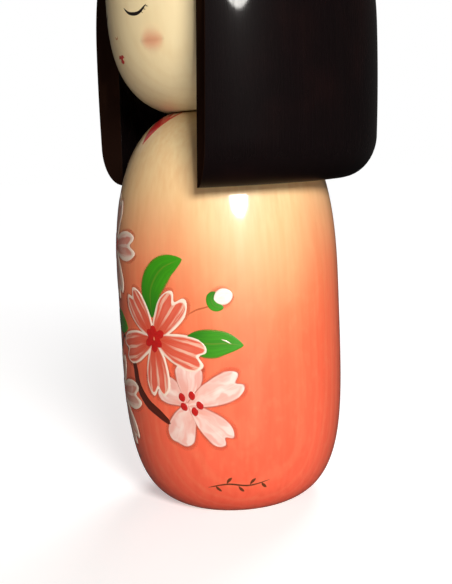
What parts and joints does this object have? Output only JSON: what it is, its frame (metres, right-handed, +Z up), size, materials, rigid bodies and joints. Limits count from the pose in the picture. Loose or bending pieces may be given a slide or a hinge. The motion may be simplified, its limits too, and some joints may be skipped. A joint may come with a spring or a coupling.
{
  "type": "turned wooden kokeshi doll",
  "caption": "Turned wooden kokeshi doll: barrel body painted with blossom sprays, ball head that turns on a peg, black bob of hair as a hollow hood.",
  "frame": {"origin": "middle of the foot, on the surface the doll stands on", "axes": "+Z up along the turning axis, the face looks along -Y, +X to the doll's left"},
  "size_m": [0.076, 0.0732, 0.1585],
  "materials": {
    "stained_body": "stain fading from cream at the neck to salmon red at the foot, under clear gloss varnish",
    "head_wood": "cream wood under clear gloss varnish",
    "hair_lacquer": "black lacquer, semi-gloss",
    "bare_wood": "bare turned dowel"
  },
  "bodies": {
    "figure": {"body": "stained_body", "neck_peg": "bare_wood"},
    "head_and_hair": {"head": "head_wood", "crown_dowel": "bare_wood", "hair_hood": "hair_lacquer"}
  },
  "joints": [
    {"name": "head_turn", "type": "hinge", "parent": "figure", "child": "head_and_hair", "pos_m": [0, 0, 0.0943], "axis": [0, 0, 1], "continuous": true}
  ]
}
